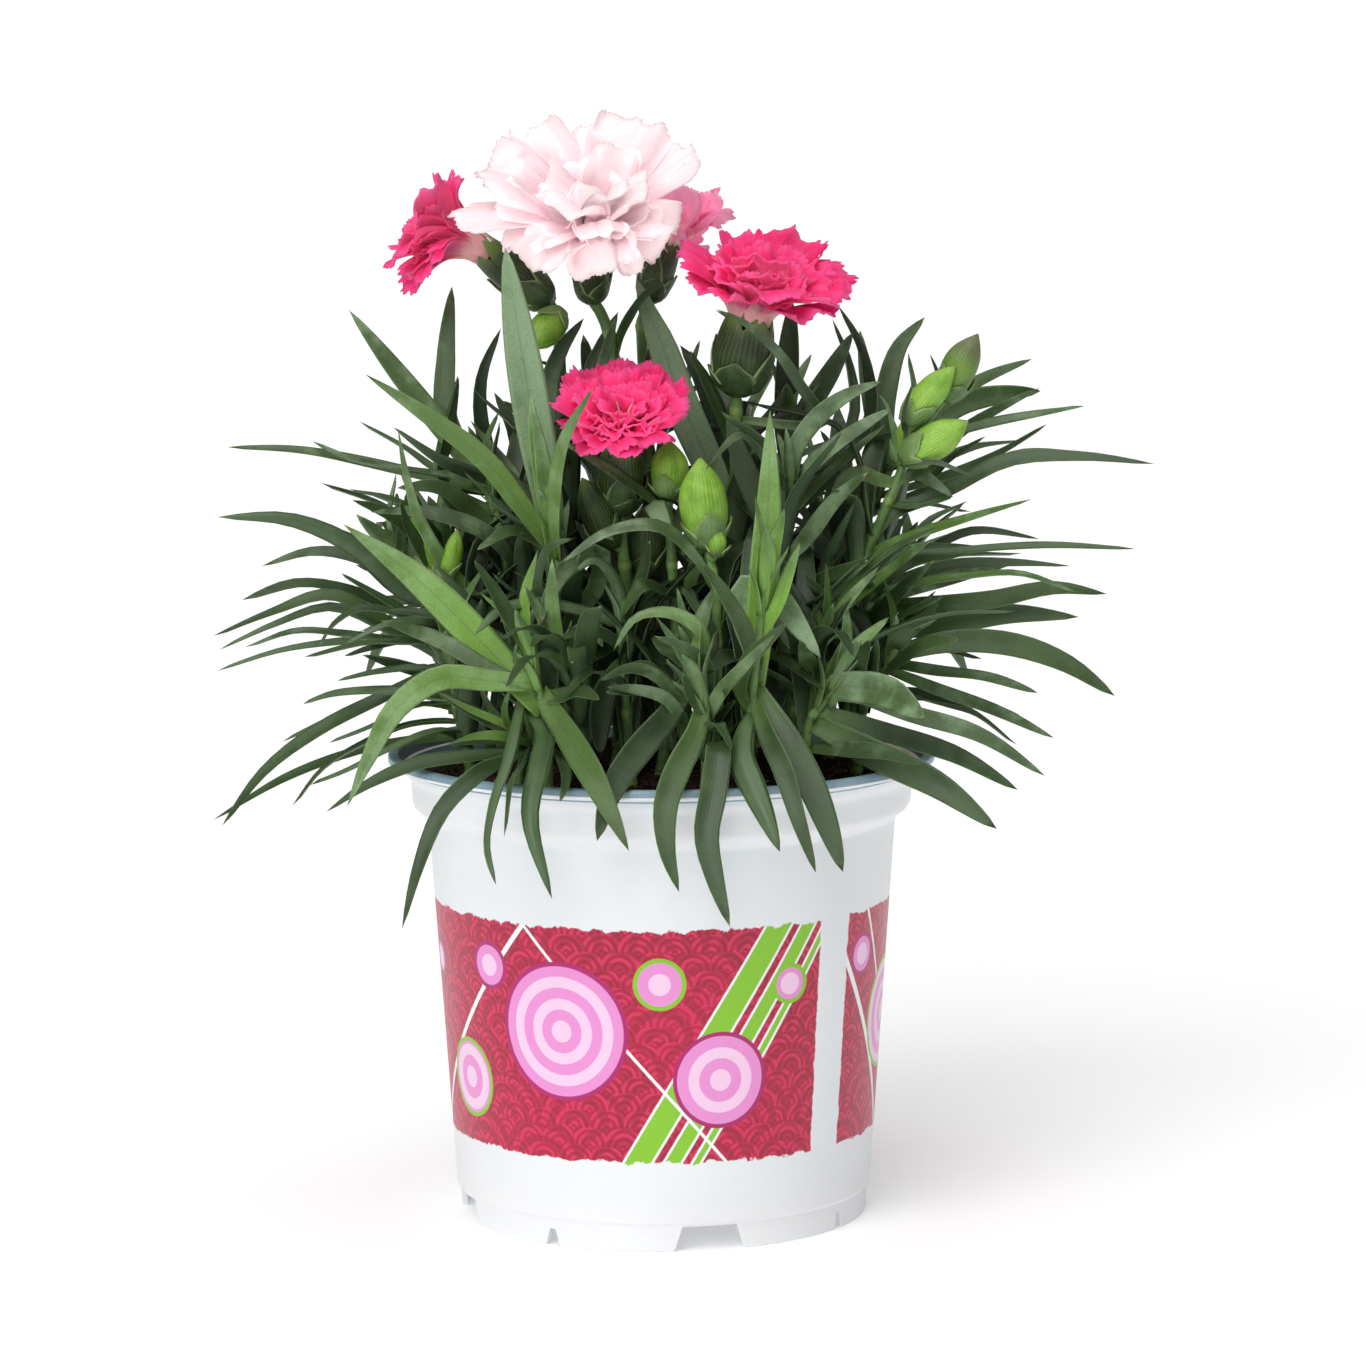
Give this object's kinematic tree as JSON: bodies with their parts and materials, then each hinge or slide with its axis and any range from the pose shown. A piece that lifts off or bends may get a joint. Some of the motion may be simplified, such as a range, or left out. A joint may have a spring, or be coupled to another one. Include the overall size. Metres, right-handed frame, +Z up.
{
  "type": "potted dianthus plant",
  "caption": "Potted dianthus with one pale and several deep pink double blooms, buds and narrow grey-green leafy shoots, standing in soil in a round tapered plastic pot.",
  "frame": {"origin": "centre of the base of the whole plant's box, on the surface that the pot stands on", "axes": "+Z up along the pot's axis, -Y towards the viewer of the reference view, +X to the viewer's right"},
  "size_m": [0.2228, 0.1982, 0.2605],
  "materials": {
    "pot": "gloss",
    "soil": "matte",
    "shoot": "satin",
    "stalk": "satin",
    "pink": "matte",
    "pale": "matte"
  },
  "bodies": {
    "root": {"pot": "pot", "soil": "soil", "petals_pale": "pale", "petals_pink_back": "pink", "petals_pink_front": "pink", "petals_pink_left": "pink", "petals_pink_right": "pink", "stalk_pale": "stalk", "stalk_pink_back": "stalk", "stalk_pink_front": "stalk", "stalk_pink_left": "stalk", "stalk_pink_right": "stalk", "stalk_right_buds": "stalk", "stalk_big_bud": "stalk", "stalk_round_bud": "stalk", "stalk_dark_bud": "stalk", "stalk_left_buds": "stalk", "shoot_left_low": "shoot", "shoot_left_outer": "shoot", "shoot_left_middle": "shoot", "shoot_left_high": "shoot", "shoot_front_left": "shoot", "shoot_front_bright": "shoot", "shoot_hero_leaf": "shoot", "shoot_centre_tuft": "shoot", "shoot_centre_front": "shoot", "shoot_front_middle": "shoot", "shoot_front_tall": "shoot", "shoot_right_low": "shoot", "shoot_right_outer": "shoot", "shoot_right_middle": "shoot", "shoot_right_high": "shoot", "shoot_inner_right": "shoot", "shoot_inner_back": "shoot", "shoot_back_01": "shoot", "shoot_back_02": "shoot", "shoot_back_03": "shoot", "shoot_back_04": "shoot", "shoot_back_05": "shoot", "shoot_back_06": "shoot", "shoot_back_07": "shoot", "shoot_back_08": "shoot", "shoot_back_09": "shoot", "shoot_inner_01": "shoot", "shoot_inner_02": "shoot", "shoot_inner_03": "shoot", "shoot_inner_04": "shoot"}
  },
  "joints": []
}
